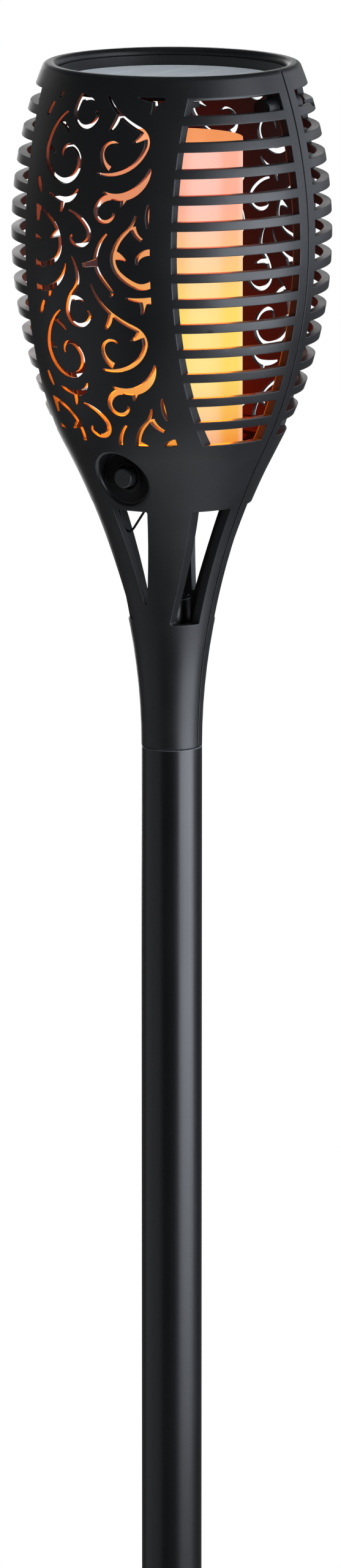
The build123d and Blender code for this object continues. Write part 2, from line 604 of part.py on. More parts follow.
def control_board():
    """The charge and flame-effect board on its posts."""
    board = block((-CONTROL_LENGTH / 2, -CONTROL_WIDTH / 2, CONTROL_LOW_Z),
                  (CONTROL_LENGTH / 2, CONTROL_WIDTH / 2, CONTROL_LOW_Z + CONTROL_THICK))
    for x, y in CONTROL_POSTS:
        board -= Pos(x, y, 0) * ring(0, STAKE_R + STAKE_FIT, CONTROL_LOW_Z, CONTROL_LOW_Z + CONTROL_THICK)
    return board


def power_button():
    """A round cap on a stem that slides in the switch."""
    cap = rod_y(0, BUTTON_Z, BUTTON_R, BUTTON_FACE_Y, BUTTON_BACK_Y)
    cap = fillet(cap.edges().sort_by(Axis.Y)[0], BUTTON_ROUND)
    return cap + rod_y(0, BUTTON_Z, BUTTON_STEM_R, BUTTON_BACK_Y, BUTTON_BACK_Y + BUTTON_STEM)


def switch_body():
    """The switch's case with its flange against the back of the pocket's floor."""
    half = SWITCH_SIZE / 2
    wide = SWITCH_FLANGE / 2
    case = block((-half, SWITCH_Y, BUTTON_Z - half), (half, SWITCH_Y + SWITCH_DEPTH, BUTTON_Z + half))
    case += block((-wide, SWITCH_Y, BUTTON_Z - half), (wide, SWITCH_Y + SWITCH_FLANGE_THICK, BUTTON_Z + half))
    bore_end = BUTTON_BACK_Y + BUTTON_STEM + BUTTON_TRAVEL + STEM_FIT
    return case - rod_y(0, BUTTON_Z, BUTTON_STEM_R + STEM_FIT, SWITCH_Y, bore_end)


def lead_grommet():
    """The rubber grommet where the lead comes up through the cover."""
    body = ring(0, GROMMET_R, COVER_LOW_Z, COVER_TOP_Z)
    body += ring(0, GROMMET_LIP_R, COVER_LOW_Z - GROMMET_LIP, COVER_LOW_Z)
    return Pos(GROMMET_X, 0, 0) * (body - ring(0, LEAD_R + STAKE_FIT, COVER_LOW_Z - GROMMET_LIP, COVER_TOP_Z))


def solar_lead():
    """The thin lead: from the board down through the grommet, across the open neck to the left seam post,
    and up the inside of the post to the tray."""
    loop_z = COVER_LOW_Z - LEAD_LOOP_DROP
    top_z = HEAD_HEIGHT - LEAD_TOP_DROP
    top_x = LEAD_TOP_IN - skin_radius(top_z, WALL)
    route = [(GROMMET_X, CONTROL_LOW_Z), (GROMMET_X, COVER_LOW_Z - LEAD_DROP)]
    route.append((LEAD_LOOP_OFF - skin_radius(loop_z, WALL), loop_z))
    for drop in LEAD_WALL_DROPS:
        route.append((-skin_radius(HEAD_HEIGHT - drop, WALL + LEAD_OFF_WALL), HEAD_HEIGHT - drop))
    route += [(top_x, top_z), (top_x, TRAY_LOW_Z)]
    points = [Vector(x, 0, z) for x, z in route]
    runs = [b - a for a, b in zip(points, points[1:])]
    radii = []
    for before, after in zip(runs, runs[1:]):
        turn = radians(before.get_angle(after))
        radii.append(LEAD_BEND * min(before.length, after.length) / tan(turn / 2))
    path = FilletPolyline(*points, radius=radii)
    section = Plane(points[0], z_dir=runs[0]) * Circle(LEAD_R)
    return sweep(section, path)


def head(pieces):
    """Lift a piece of the head, or a group of them, onto the pole."""
    if isinstance(pieces, list):
        pieces = Compound(children=[piece.solid() for piece in pieces])
    return Pos(0, 0, SEAM_Z) * pieces


# Places worked out from the sizes above
RIM_INNER_R = skin_radius(HEAD_HEIGHT) - RIM_WIDTH
TRAY_LIP_R = RIM_INNER_R - TRAY_LIP_SHOW
TRAY_R = skin_radius(FLANGE_Z, WALL) - TRAY_CLEAR
TRAY_LOW_Z = FLANGE_Z - LEDGE_FIT - TRAY_HEIGHT
PANEL_R = TRAY_LIP_R - PANEL_CLEAR
SEAL_LOW_Z = TRAY_LOW_Z + TRAY_FLOOR
PANEL_LOW_Z = SEAL_LOW_Z + SEAL_THICK
CELL_LOW_Z = PANEL_LOW_Z + PANEL_BOARD
RESIN_LOW_Z = CELL_LOW_Z + CELL_THICK
BASE_LOW_Z = BASE_TOP_Z - BASE_THICK
BASE_R = skin_radius(BASE_LOW_Z, WALL) - PLATE_CLEAR
COVER_LOW_Z = COVER_TOP_Z - COVER_PLATE
COVER_R = skin_radius(COVER_LOW_Z, WALL) - PLATE_CLEAR
CONTROL_LOW_Z = COVER_TOP_Z + CONTROL_LIFT
CONTROL_POSTS = [(x, y) for x in (-CONTROL_LENGTH / 2 + STAKE_INSET, CONTROL_LENGTH / 2 - STAKE_INSET)
                 for y in (-CONTROL_WIDTH / 2 + STAKE_INSET, CONTROL_WIDTH / 2 - STAKE_INSET)]
FLAT_TURN = 360 / FORMER_SIDES
FORMER_FLAT = FORMER_R * cos(radians(FLAT_TURN / 2))
BOARD_LOW_Z = BASE_TOP_Z + FORMER_RIM + PLATE_CLEAR
LAMP_BOSS_PLACE = DIFFUSER_R - DIFFUSER_WALL / 2 - LAMP_BOSS_R
LAMP_TURNS = [radians(360 * index / LAMP_BOSS_COUNT) for index in range(LAMP_BOSS_COUNT)]
LAMP_SCREWS = [(LAMP_BOSS_PLACE * sin(turn), LAMP_BOSS_PLACE * cos(turn)) for turn in LAMP_TURNS]
LOW_BOSS_Z = SILL_Z - LOW_BOSS_DROP
LOW_BOSS_X = skin_radius(LOW_BOSS_Z, WALL) - LOW_BOSS_IN
TOP_BOSS_Z = HEAD_HEIGHT - TOP_BOSS_DROP
TOP_BOSS_X = skin_radius(TOP_BOSS_Z, WALL) - TOP_BOSS_IN
SHELL_SCREWS = [(side * LOW_BOSS_X, LOW_BOSS_Z, REACH) for side in (-1, 1)]
SHELL_SCREWS += [(side * TOP_BOSS_X, TOP_BOSS_Z, SCREW_GRIP + WALL) for side in (-1, 1)]
SHELL_SCREWS_REAR = [(-x, z, depth) for x, z, depth in SHELL_SCREWS]
POCKET_FLOOR_Y = POCKET_DEPTH - skin_radius(BUTTON_Z)
BUTTON_FACE_Y = BUTTON_SUNK - skin_radius(BUTTON_Z)
BUTTON_BACK_Y = BUTTON_FACE_Y + BUTTON_CAP
SWITCH_Y = POCKET_FLOOR_Y + POCKET_FLOOR

NODES = {
    "ground_spike": ground_spike(),
    "lower_pole": Pos(0, 0, COLLAR_HEIGHT) * pole_section(),
    "upper_pole": Pos(0, 0, COLLAR_HEIGHT + SECTION_LENGTH) * pole_section(),
    "front_shell": head(half_shell(True)),
    "rear_shell": head(Rot(0, 0, 180) * half_shell(False)),
    "shell_screws": head(shell_screws()),
    "solar_tray": head(solar_tray()),
    "panel_seal": head(ring(PANEL_R - SEAL_WIDTH, PANEL_R, SEAL_LOW_Z, PANEL_LOW_Z)),
    "panel_board": head(ring(0, PANEL_R, PANEL_LOW_Z, CELL_LOW_Z)),
    "solar_cells": head(solar_cells()),
    "panel_cover": head(ring(0, PANEL_R, RESIN_LOW_Z, RESIN_LOW_Z + RESIN_THICK)),
    "diffuser": head(diffuser()),
    "lamp_screws": head([Pos(x, y, BASE_LOW_Z) * screw_z(BASE_THICK + SCREW_GRIP) for x, y in LAMP_SCREWS]),
    "led_former": head(former_bar(FORMER_R, BASE_TOP_Z, BASE_TOP_Z + FORMER_HEIGHT)
                       - former_bar(FORMER_R - FORMER_WALL, BASE_TOP_Z, BASE_TOP_Z + FORMER_HEIGHT)),
    "led_boards": head(led_boards()),
    "leds": head(leds()),
    "battery": head(battery()),
    "lamp_base": head(lamp_base()),
    "control_board": head(control_board()),
    "base_cover": head(base_cover()),
    "power_button": head(power_button()),
    "switch_body": head(switch_body()),
    "lead_grommet": head(lead_grommet()),
    "solar_lead": head(solar_lead()),
}

for name, shape in NODES.items():
    export_step(shape, f"parts/{name}.step")
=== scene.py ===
import json
import bpy
import numpy as np
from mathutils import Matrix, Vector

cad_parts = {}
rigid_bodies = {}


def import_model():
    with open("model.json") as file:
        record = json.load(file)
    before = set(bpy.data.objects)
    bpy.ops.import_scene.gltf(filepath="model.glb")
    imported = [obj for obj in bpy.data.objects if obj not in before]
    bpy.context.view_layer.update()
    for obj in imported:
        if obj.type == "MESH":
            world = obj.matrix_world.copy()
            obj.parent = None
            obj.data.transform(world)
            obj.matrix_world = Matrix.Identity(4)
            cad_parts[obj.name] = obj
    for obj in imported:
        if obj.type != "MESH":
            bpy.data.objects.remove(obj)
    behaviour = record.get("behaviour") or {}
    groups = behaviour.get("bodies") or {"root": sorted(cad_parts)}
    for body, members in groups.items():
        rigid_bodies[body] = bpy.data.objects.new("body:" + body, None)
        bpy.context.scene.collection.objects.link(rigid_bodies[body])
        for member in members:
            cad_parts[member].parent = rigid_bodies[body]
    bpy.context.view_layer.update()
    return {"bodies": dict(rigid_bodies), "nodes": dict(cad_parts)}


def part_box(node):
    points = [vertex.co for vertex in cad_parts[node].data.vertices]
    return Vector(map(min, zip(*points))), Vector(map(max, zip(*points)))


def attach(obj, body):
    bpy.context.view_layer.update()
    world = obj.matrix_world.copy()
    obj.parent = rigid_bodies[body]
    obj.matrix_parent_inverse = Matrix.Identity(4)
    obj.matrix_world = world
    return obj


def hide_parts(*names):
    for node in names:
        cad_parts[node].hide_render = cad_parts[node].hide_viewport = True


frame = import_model()
nodes = frame["nodes"]


# Ground spike: crossed blades under a collar, with a plug that the lowest pole section pushes onto.
# It is moulded in one shot from black polypropylene, and soil has dulled and scuffed the blades
# towards the tip.
MM = 0.001                  # the frame is in metres; grains and patterns are given in millimetres
SPIKE_BLACK = "#17181a"
SPIKE_SOIL = "#3b352d"
SPIKE_GRAIN = 1.2 * MM      # the real grain is finer, drawn as coarse as it needs to show
SPIKE_ROUGH = (0.42, 0.85)  # clean, and under soil
SOIL_PATCH = 6 * MM
SOIL_COVER = 0.8            # share of soil in a patch at the very tip
SPIKE_TIP_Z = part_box("ground_spike")[0].z
SOIL_TOP_Z = SPIKE_TIP_Z / 3
POLYPROPYLENE_IOR = 1.49
COLOUR_A, COLOUR_B, COLOUR_OUT = 6, 7, 2    # a Mix node's colour sockets, whose names others share


def linear(hex_colour):
    """Linear RGBA of an sRGB hex value: each channel goes back through the two-part sRGB curve."""
    channels = np.array([int(hex_colour[i:i + 2], 16) for i in (1, 3, 5)]) / 255
    low = channels / 12.92
    high = ((channels + 0.055) / 1.055) ** 2.4
    return (*np.where(channels <= 0.04045, low, high).tolist(), 1.0)


def add(tree, kind, inputs=None, **settings):
    """A new node with its settings, its inputs' values, and its links where an input is given a socket."""
    made = tree.nodes.new(kind)
    for name, value in settings.items():
        setattr(made, name, value)
    for socket, value in (inputs or {}).items():
        if isinstance(value, bpy.types.NodeSocket):
            tree.links.new(value, made.inputs[socket])
        else:
            made.inputs[socket].default_value = value
    return made


def new_finish(name):
    """A material of that name with an empty node tree."""
    finish = bpy.data.materials.new(name)
    finish.use_nodes = True
    finish.node_tree.nodes.clear()
    return finish, finish.node_tree


def dress(finish, *names):
    """Gives the CAD nodes of those names this finish."""
    for name in names:
        for slot in nodes[name].material_slots:
            slot.material = finish


# a waxy black with a matt grain, browner and duller where soil has rubbed in
spike_finish, tree = new_finish("polypropylene, moulded black")
place = add(tree, "ShaderNodeTexCoord").outputs["Object"]
grain = add(tree, "ShaderNodeTexNoise", {"Vector": place, "Scale": 1 / SPIKE_GRAIN, "Detail": 3.0})
patches = add(tree, "ShaderNodeTexNoise", {"Vector": place, "Scale": 1 / SOIL_PATCH, "Detail": 5.0})
height = add(tree, "ShaderNodeSeparateXYZ", {"Vector": place}).outputs["Z"]
depth = add(tree, "ShaderNodeMapRange", {
    "Value": height, "From Min": SOIL_TOP_Z, "From Max": SPIKE_TIP_Z, "To Max": SOIL_COVER})
scuff = add(tree, "ShaderNodeMath", {
    0: depth.outputs[0], 1: patches.outputs["Fac"]}, operation="MULTIPLY")
colour = add(tree, "ShaderNodeMix", {
    "Factor": scuff.outputs[0], COLOUR_A: linear(SPIKE_BLACK), COLOUR_B: linear(SPIKE_SOIL)},
    data_type="RGBA")
dull = add(tree, "ShaderNodeMapRange", {
    "Value": scuff.outputs[0], "To Min": SPIKE_ROUGH[0], "To Max": SPIKE_ROUGH[1]})
bump = add(tree, "ShaderNodeBump", {
    "Height": grain.outputs["Fac"], "Strength": 0.25, "Distance": SPIKE_GRAIN / 8})
skin = add(tree, "ShaderNodeBsdfPrincipled", {
    "Base Color": colour.outputs[COLOUR_OUT], "Roughness": dull.outputs[0], "IOR": POLYPROPYLENE_IOR,
    "Normal": bump.outputs[0]})
add(tree, "ShaderNodeOutputMaterial", {"Surface": skin.outputs[0]})
dress(spike_finish, "ground_spike")


# Pole: two equal tubes with reduced spigots that push into one another and into the lantern's neck.
# They are extruded from black ABS, which leaves faint lines along the draw, and a painted highlight
# pales the edge of their cut ends.
POLE_BLACK = "#08090a"
POLE_GREY = "#0e0f12"
# painted highlight: the pale colour given to the rounded edges of the cut ends
POLE_EDGE_HIGHLIGHT = "#94989e"
POLE_ROUND = 0.5 * MM
POLE_BEND = (0.99, 0.85)    # cosine of an edge's bend where it starts to pale, and where it is palest
POLE_ROUGH = (0.28, 0.36)
DRAW_LINE = 0.7 * MM        # width of a line; coarser than the real ones, so that they show
DRAW_RUN = 140 * MM         # length of a line before it fades
HAND_MARK = 50 * MM
NOISE_LOW, NOISE_HIGH = 0.3, 0.7        # a noise mostly stays between these
ABS_IOR = 1.53


def bent_edge(tree, radius, bend_range):
    """The normal rounded over edges by that radius, and a mask that shows where the edges are.

    The mask rises from 0 to 1 as the cosine between the rounded normal and the face's own falls
    through the range."""
    rounded = add(tree, "ShaderNodeBevel", {"Radius": radius}, samples=6)
    flat = add(tree, "ShaderNodeNewGeometry")
    bend = add(tree, "ShaderNodeVectorMath", {
        0: rounded.outputs[0], 1: flat.outputs["Normal"]}, operation="DOT_PRODUCT")
    edge = add(tree, "ShaderNodeMapRange", {
        "Value": bend.outputs["Value"], "From Min": bend_range[0], "From Max": bend_range[1]})
    return rounded.outputs[0], edge.outputs[0]


# a satin black that draws a reflection out along the pole, a little broken by draw lines and hand marks
pole_finish, tree = new_finish("ABS, extruded satin black")
place = add(tree, "ShaderNodeTexCoord").outputs["Object"]
drawn = add(tree, "ShaderNodeMapping", {
    "Vector": place, "Scale": (1 / DRAW_LINE, 1 / DRAW_LINE, 1 / DRAW_RUN)})
lines = add(tree, "ShaderNodeTexNoise", {"Vector": drawn.outputs[0], "Scale": 1.0, "Detail": 2.0})
marks = add(tree, "ShaderNodeTexNoise", {"Vector": place, "Scale": 1 / HAND_MARK, "Detail": 4.0})
both = add(tree, "ShaderNodeMath", {0: lines.outputs["Fac"], 1: marks.outputs["Fac"]}, operation="ADD")
satin = add(tree, "ShaderNodeMapRange", {
    "Value": both.outputs[0], "From Min": 2 * NOISE_LOW, "From Max": 2 * NOISE_HIGH,
    "To Min": POLE_ROUGH[0], "To Max": POLE_ROUGH[1]})
colour = add(tree, "ShaderNodeMix", {
    "Factor": marks.outputs["Fac"], COLOUR_A: linear(POLE_BLACK), COLOUR_B: linear(POLE_GREY)},
    data_type="RGBA")
rounded, edge = bent_edge(tree, POLE_ROUND, POLE_BEND)
# painted highlight: the rounded edges are paled, standing in for the light they catch
pole_edge_highlighted = add(tree, "ShaderNodeMix", {
    "Factor": edge, COLOUR_A: colour.outputs[COLOUR_OUT], COLOUR_B: linear(POLE_EDGE_HIGHLIGHT)}, data_type="RGBA")
bump = add(tree, "ShaderNodeBump", {
    "Height": lines.outputs["Fac"], "Strength": 0.05, "Distance": DRAW_LINE / 8, "Normal": rounded})
skin = add(tree, "ShaderNodeBsdfPrincipled", {
    "Base Color": pole_edge_highlighted.outputs[COLOUR_OUT], "Roughness": satin.outputs[0], "IOR": ABS_IOR,
    "Normal": bump.outputs[0]})
add(tree, "ShaderNodeOutputMaterial", {"Surface": skin.outputs[0]})
dress(pole_finish, "lower_pole", "upper_pole")


# Lantern shell: two halves of a clamshell, pierced with scrolls and louvres, that screw together and
# trap everything inside. They are injection-moulded in black ABS with the fine grain of a spark-eroded
# mould, and so is the solar tray. The pocket round the button has the duller face of its own mould core,
# and painted shade darkens it to near black.
SHELL_BLACK = "#0b0c0d"
SHELL_GREY = "#141517"
# painted highlight: the paler colour of the shell's rounded edges
SHELL_EDGE_HIGHLIGHT = "#26282b"
SHELL_GRAIN = 0.6 * MM      # the real grain is about half that, drawn coarser so that it shows
SHELL_ROUND = 0.5 * MM
SHELL_BEND = (0.995, 0.80)
SHELL_ROUGH = (0.36, 0.48)
SHELL_CLOUD = 30 * MM
# painted shade: the near-black colour given to the pocket round the button
POCKET_SHADE = "#040405"
POCKET_RADIUS = 9.4 * MM
POCKET_ROUGH = 0.9
BUTTON_LOW, BUTTON_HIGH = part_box("power_button")
NUMBER_A, NUMBER_B = 2, 3   # a Mix node's number sockets, named as its colour sockets are

# a satin black with a soft bloom, a shade paler along its rounded edges by a painted highlight, and near
# black in the pocket by painted shade
shell_finish, tree = new_finish("ABS, moulded satin black")
place = add(tree, "ShaderNodeTexCoord").outputs["Object"]
grain = add(tree, "ShaderNodeTexNoise", {"Vector": place, "Scale": 1 / SHELL_GRAIN, "Detail": 2.0})
cloud = add(tree, "ShaderNodeTexNoise", {"Vector": place, "Scale": 1 / SHELL_CLOUD, "Detail": 4.0})
rounded, edge = bent_edge(tree, SHELL_ROUND, SHELL_BEND)
colour = add(tree, "ShaderNodeMix", {
    "Factor": cloud.outputs["Fac"], COLOUR_A: linear(SHELL_BLACK), COLOUR_B: linear(SHELL_GREY)},
    data_type="RGBA")
# painted highlight: the rounded edges are paled, standing in for the light they catch
shell_edge_highlighted = add(tree, "ShaderNodeMix", {
    "Factor": edge, COLOUR_A: colour.outputs[COLOUR_OUT], COLOUR_B: linear(SHELL_EDGE_HIGHLIGHT)}, data_type="RGBA")
satin = add(tree, "ShaderNodeMapRange", {
    "Value": cloud.outputs["Fac"], "From Min": NOISE_LOW, "From Max": NOISE_HIGH,
    "To Min": SHELL_ROUGH[0], "To Max": SHELL_ROUGH[1]})
parts = add(tree, "ShaderNodeSeparateXYZ", {"Vector": place})
off_axis = add(tree, "ShaderNodeCombineXYZ", {"X": parts.outputs["X"], "Z": parts.outputs["Z"]})
reach = add(tree, "ShaderNodeVectorMath", {
    0: off_axis.outputs[0], 1: (0.0, 0.0, (BUTTON_LOW.z + BUTTON_HIGH.z) / 2)}, operation="DISTANCE")
near = add(tree, "ShaderNodeMath", {0: reach.outputs["Value"], 1: POCKET_RADIUS}, operation="LESS_THAN")
front = add(tree, "ShaderNodeMath", {0: parts.outputs["Y"], 1: 0.0}, operation="LESS_THAN")
pocket = add(tree, "ShaderNodeMath", {0: near.outputs[0], 1: front.outputs[0]}, operation="MULTIPLY")
# painted shade: the pocket round the button is darkened to near black
pocket_shaded = add(tree, "ShaderNodeMix", {
    "Factor": pocket.outputs[0], COLOUR_A: shell_edge_highlighted.outputs[COLOUR_OUT], COLOUR_B: linear(POCKET_SHADE)},
    data_type="RGBA")
dull = add(tree, "ShaderNodeMix", {
    "Factor": pocket.outputs[0], NUMBER_A: satin.outputs[0], NUMBER_B: POCKET_ROUGH})
bump = add(tree, "ShaderNodeBump", {
    "Height": grain.outputs["Fac"], "Strength": 0.12, "Distance": SHELL_GRAIN / 6, "Normal": rounded})
skin = add(tree, "ShaderNodeBsdfPrincipled", {
    "Base Color": pocket_shaded.outputs[COLOUR_OUT], "Roughness": dull.outputs[0], "IOR": ABS_IOR,
    "Normal": bump.outputs[0]})
add(tree, "ShaderNodeOutputMaterial", {"Surface": skin.outputs[0]})
dress(shell_finish, "front_shell", "rear_shell", "solar_tray")


# Base plate and cover of the compartment under the light: plain mouldings in black ABS, trapped between
# the shells' ledges. They are out of sight, so they keep the mould's turned finish.
INNER_BLACK = "#1f2022"
INNER_ROUGH = (0.40, 0.52)
TURNED_RING = 2.4 * MM      # from ring to ring; coarser than a real tool mark, so that it shows
WAVE_REPEAT = 1 / np.pi     # metres, about, from crest to crest of a wave texture of scale 1

# a dark grey-black with fine rings about the axis, as from a lathe
inner_finish, tree = new_finish("ABS, moulded plain black")
place = add(tree, "ShaderNodeTexCoord").outputs["Object"]
rings = add(tree, "ShaderNodeTexWave", {
    "Vector": place, "Scale": WAVE_REPEAT / TURNED_RING, "Distortion": 0.4},
    wave_type="RINGS", rings_direction="Z")
satin = add(tree, "ShaderNodeMapRange", {
    "Value": rings.outputs["Fac"], "To Min": INNER_ROUGH[0], "To Max": INNER_ROUGH[1]})
bump = add(tree, "ShaderNodeBump", {
    "Height": rings.outputs["Fac"], "Strength": 0.15, "Distance": TURNED_RING / 40})
skin = add(tree, "ShaderNodeBsdfPrincipled", {
    "Base Color": linear(INNER_BLACK), "Roughness": satin.outputs[0], "IOR": ABS_IOR,
    "Normal": bump.outputs[0]})
add(tree, "ShaderNodeOutputMaterial", {"Surface": skin.outputs[0]})
dress(inner_finish, "lamp_base", "base_cover")


# Control board: a glass-fibre laminate under green solder mask, staked on the cover's posts. It drives
# the LEDs and charges the cell.
MASK_GREEN = "#0f4d2b"
TRACK_GREEN = "#2f7a45"
TRACK_PITCH = 2.5 * MM
MASK_ROUGH = 0.32
LAMINATE_IOR = 1.55

# a shiny dark green, with the copper as paler tracks that stand a little proud under the mask
mask_finish, tree = new_finish("glass-fibre laminate, green solder mask")
place = add(tree, "ShaderNodeTexCoord").outputs["Object"]
tracks = add(tree, "ShaderNodeTexBrick", {
    "Vector": place, "Scale": 1.0, "Mortar Size": TRACK_PITCH / 8, "Brick Width": 3 * TRACK_PITCH,
    "Row Height": TRACK_PITCH, "Color1": linear(MASK_GREEN), "Color2": linear(MASK_GREEN),
    "Mortar": linear(TRACK_GREEN)})
bump = add(tree, "ShaderNodeBump", {
    "Height": tracks.outputs["Fac"], "Strength": 0.3, "Distance": TRACK_PITCH / 60})
skin = add(tree, "ShaderNodeBsdfPrincipled", {
    "Base Color": tracks.outputs["Color"], "Roughness": MASK_ROUGH, "IOR": LAMINATE_IOR,
    "Normal": bump.outputs[0]})
add(tree, "ShaderNodeOutputMaterial", {"Surface": skin.outputs[0]})
dress(mask_finish, "control_board")


# Power button and its switch: a round cap moulded in ABS stands in the pocket at the front, on a stem
# that slides in a boxed polyester switch behind the pocket's floor.
BUTTON_GREY = "#1e2022"
BUTTON_PALE = "#282a2d"
BUTTON_GRAIN = 0.7 * MM     # coarser than the real grain, so that it shows
BUTTON_ROUND = SHELL_ROUND / 2
BUTTON_ROUGH = 0.45
SWITCH_BLACK = "#141416"
SWITCH_ROUGH = (0.5, 0.7)
POLYESTER_IOR = 1.57

# a dull grey-black, paler than the pocket round it
button_finish, tree = new_finish("ABS, moulded dull grey-black")
place = add(tree, "ShaderNodeTexCoord").outputs["Object"]
grain = add(tree, "ShaderNodeTexNoise", {"Vector": place, "Scale": 1 / BUTTON_GRAIN, "Detail": 3.0})
rounded = add(tree, "ShaderNodeBevel", {"Radius": BUTTON_ROUND}, samples=4)
colour = add(tree, "ShaderNodeMix", {
    "Factor": grain.outputs["Fac"], COLOUR_A: linear(BUTTON_GREY), COLOUR_B: linear(BUTTON_PALE)},
    data_type="RGBA")
bump = add(tree, "ShaderNodeBump", {
    "Height": grain.outputs["Fac"], "Strength": 0.12, "Distance": BUTTON_GRAIN / 6,
    "Normal": rounded.outputs[0]})
skin = add(tree, "ShaderNodeBsdfPrincipled", {
    "Base Color": colour.outputs[COLOUR_OUT], "Roughness": BUTTON_ROUGH, "IOR": ABS_IOR,
    "Normal": bump.outputs[0]})
add(tree, "ShaderNodeOutputMaterial", {"Surface": skin.outputs[0]})
dress(button_finish, "power_button")

# a matt black, a little uneven
switch_finish, tree = new_finish("polyester, moulded matt black")
place = add(tree, "ShaderNodeTexCoord").outputs["Object"]
grain = add(tree, "ShaderNodeTexNoise", {"Vector": place, "Scale": 1 / BUTTON_GRAIN, "Detail": 2.0})
matt = add(tree, "ShaderNodeMapRange", {
    "Value": grain.outputs["Fac"], "To Min": SWITCH_ROUGH[0], "To Max": SWITCH_ROUGH[1]})
skin = add(tree, "ShaderNodeBsdfPrincipled", {
    "Base Color": linear(SWITCH_BLACK), "Roughness": matt.outputs[0], "IOR": POLYESTER_IOR})
add(tree, "ShaderNodeOutputMaterial", {"Surface": skin.outputs[0]})
dress(switch_finish, "switch_body")


# Light engine: a cell in shrink wrap stands in the base plate's cup. Round it stands a six-sided former,
# moulded in white polypropylene, with a laminate strip board on each flat and a column of small LEDs
# soldered to each strip.
WRAP_BLUE = "#2c4f86"
WRAP_SEAM = "#1d3763"
WRAP_CREASE = 4 * MM
WRAP_DEPTH = 0.2 * MM
WRAP_ROUGH = 0.28
PVC_IOR = 1.53
FORMER_WHITE = "#d9d8d2"
FORMER_FLOW = 10 * MM
FORMER_ROUGH = (0.4, 0.55)
STRIP_WHITE = "#dedfd9"
STRIP_PAD = "#b9a06a"
STRIP_ROUGH = 0.4
LED_AMBER = "#ffb04a"
LED_PITCH = 8 * MM
LED_LEVEL = (0.7, 1.3)
LED_ROUGH = 0.25
SILICONE_IOR = 1.41

# a shiny blue film with soft creases
wrap_finish, tree = new_finish("PVC shrink wrap on a steel can")
place = add(tree, "ShaderNodeTexCoord").outputs["Object"]
creases = add(tree, "ShaderNodeTexNoise", {"Vector": place, "Scale": 1 / WRAP_CREASE, "Detail": 3.0})
colour = add(tree, "ShaderNodeMix", {
    "Factor": creases.outputs["Fac"], COLOUR_A: linear(WRAP_BLUE), COLOUR_B: linear(WRAP_SEAM)},
    data_type="RGBA")
bump = add(tree, "ShaderNodeBump", {
    "Height": creases.outputs["Fac"], "Strength": 0.1, "Distance": WRAP_DEPTH})
skin = add(tree, "ShaderNodeBsdfPrincipled", {
    "Base Color": colour.outputs[COLOUR_OUT], "Roughness": WRAP_ROUGH, "IOR": PVC_IOR,
    "Normal": bump.outputs[0]})
add(tree, "ShaderNodeOutputMaterial", {"Surface": skin.outputs[0]})
dress(wrap_finish, "battery")

# a milky white, satin with faint marks of how it flowed into the mould
former_finish, tree = new_finish("polypropylene, moulded white")
place = add(tree, "ShaderNodeTexCoord").outputs["Object"]
flow = add(tree, "ShaderNodeTexNoise", {"Vector": place, "Scale": 1 / FORMER_FLOW, "Detail": 3.0})
satin = add(tree, "ShaderNodeMapRange", {
    "Value": flow.outputs["Fac"], "To Min": FORMER_ROUGH[0], "To Max": FORMER_ROUGH[1]})
skin = add(tree, "ShaderNodeBsdfPrincipled", {
    "Base Color": linear(FORMER_WHITE), "Roughness": satin.outputs[0], "IOR": POLYPROPYLENE_IOR})
add(tree, "ShaderNodeOutputMaterial", {"Surface": skin.outputs[0]})
dress(former_finish, "led_former")

# a smooth white crossed by dull gold pads; the solar panel's board is of the same laminate
strip_finish, tree = new_finish("glass-fibre laminate, white solder mask")
place = add(tree, "ShaderNodeTexCoord").outputs["Object"]
pads = add(tree, "ShaderNodeTexBrick", {
    "Vector": place, "Scale": 1.0, "Mortar Size": LED_PITCH / 16, "Brick Width": LED_PITCH,
    "Row Height": LED_PITCH, "Color1": linear(STRIP_WHITE), "Color2": linear(STRIP_WHITE),
    "Mortar": linear(STRIP_PAD)})
skin = add(tree, "ShaderNodeBsdfPrincipled", {
    "Base Color": pads.outputs["Color"], "Roughness": STRIP_ROUGH, "IOR": LAMINATE_IOR})
add(tree, "ShaderNodeOutputMaterial", {"Surface": skin.outputs[0]})
dress(strip_finish, "led_boards", "panel_board")

# small warm lights, some brighter than others
led_finish, tree = new_finish("silicone lens over a lit phosphor")
place = add(tree, "ShaderNodeTexCoord").outputs["Object"]
flicker = add(tree, "ShaderNodeTexNoise", {"Vector": place, "Scale": 1 / LED_PITCH, "Detail": 1.0})
lit = add(tree, "ShaderNodeMapRange", {
    "Value": flicker.outputs["Fac"], "To Min": LED_LEVEL[0], "To Max": LED_LEVEL[1]})
skin = add(tree, "ShaderNodeBsdfPrincipled", {
    "Base Color": linear(LED_AMBER), "Roughness": LED_ROUGH, "IOR": SILICONE_IOR,
    "Emission Color": linear(LED_AMBER), "Emission Strength": lit.outputs[0]})
add(tree, "ShaderNodeOutputMaterial", {"Surface": skin.outputs[0]})
dress(led_finish, "leds")


# Diffuser: a frosted polypropylene tube with a closed top, screwed to the base plate from below. Lit by
# the LEDs inside, it shows the still of a flame: orange at the foot, yellow above, then rose, paler in
# front of each LED column and redder between them, with an orange lid.
TUBE_LOW, TUBE_HIGH = (corner.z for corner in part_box("diffuser"))
TUBE_BROWN = "#5a3a26"      # dark enough for the studio light to add little to the glow
TUBE_ROUGH = 0.5
FROST_GRAIN = 0.5 * MM      # coarser than the real frost, so that it shows
FROST_DEPTH = 0.1 * MM
COLUMNS = 6
COLUMN_EDGE = (0.6, -0.8)   # cosine of six times the turn where a column's glow starts to fade, and ends
FLAME_HEART = (0.26, 0.45)  # shares of the tube's height between which the flame is at its yellowest
FLAME_TIP = 0.80            # share from which it is rose
FLAME_SIDES = [             # colours of its foot, heart and tip
    ("#fcaa88", "#fee384", "#ffc3b2"),      # before an LED column
    ("#fa8e30", "#fede60", "#ffaf95"),      # between two columns
    ("#f28a2c", "#fbac56", "#ea946a"),      # on the left flank
    ("#e8480e", "#ff5e17", "#b4361a"),      # at the rear
]
